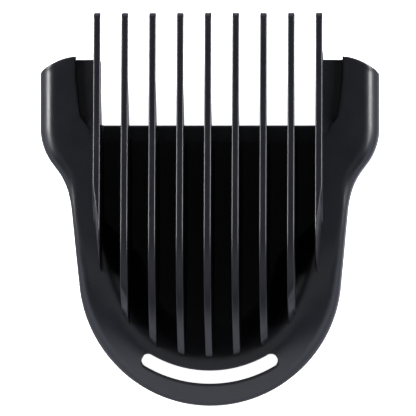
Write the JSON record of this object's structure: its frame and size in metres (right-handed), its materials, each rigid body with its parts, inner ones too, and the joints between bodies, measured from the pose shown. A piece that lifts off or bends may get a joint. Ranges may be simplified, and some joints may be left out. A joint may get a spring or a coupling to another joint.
{
  "type": "hair clipper guide comb",
  "caption": "Black moulded guide comb for a hair clipper: hollow cover with two side wings, tall parallel teeth over an open blade window, and a curved snap slot at the chin.",
  "frame": {"origin": "centre of the footprint on the plane of the back rims, which is the face that the comb lies on", "axes": "+X to the right as the comb's front is seen with its teeth up, +Y from the chin to the tooth tips, +Z out of the comb's front"},
  "size_m": [0.0612, 0.071, 0.026],
  "materials": {
    "cover_plastic": "satin",
    "tooth_plastic": "satin",
    "inner_plastic": "fine matt texture"
  },
  "bodies": {
    "root": {"blade_lip": "inner_plastic", "chin_cover": "cover_plastic", "chin_recess_wall": "inner_plastic", "comb_plate": "inner_plastic", "left_cheek": "inner_plastic", "left_deck": "cover_plastic", "left_guide_rail": "inner_plastic", "left_recess_wall": "inner_plastic", "left_side_panel": "cover_plastic", "left_wing": "cover_plastic", "right_cheek": "inner_plastic", "right_deck": "cover_plastic", "right_guide_rail": "inner_plastic", "right_recess_wall": "inner_plastic", "right_side_panel": "cover_plastic", "right_wing": "cover_plastic", "snap_bow": "cover_plastic", "snap_lug": "inner_plastic", "tooth_1": "tooth_plastic", "tooth_2": "tooth_plastic", "tooth_3": "tooth_plastic", "tooth_4": "tooth_plastic", "tooth_5": "tooth_plastic", "tooth_6": "tooth_plastic", "tooth_7": "tooth_plastic", "tooth_8": "tooth_plastic", "tooth_9": "tooth_plastic"}
  },
  "joints": []
}
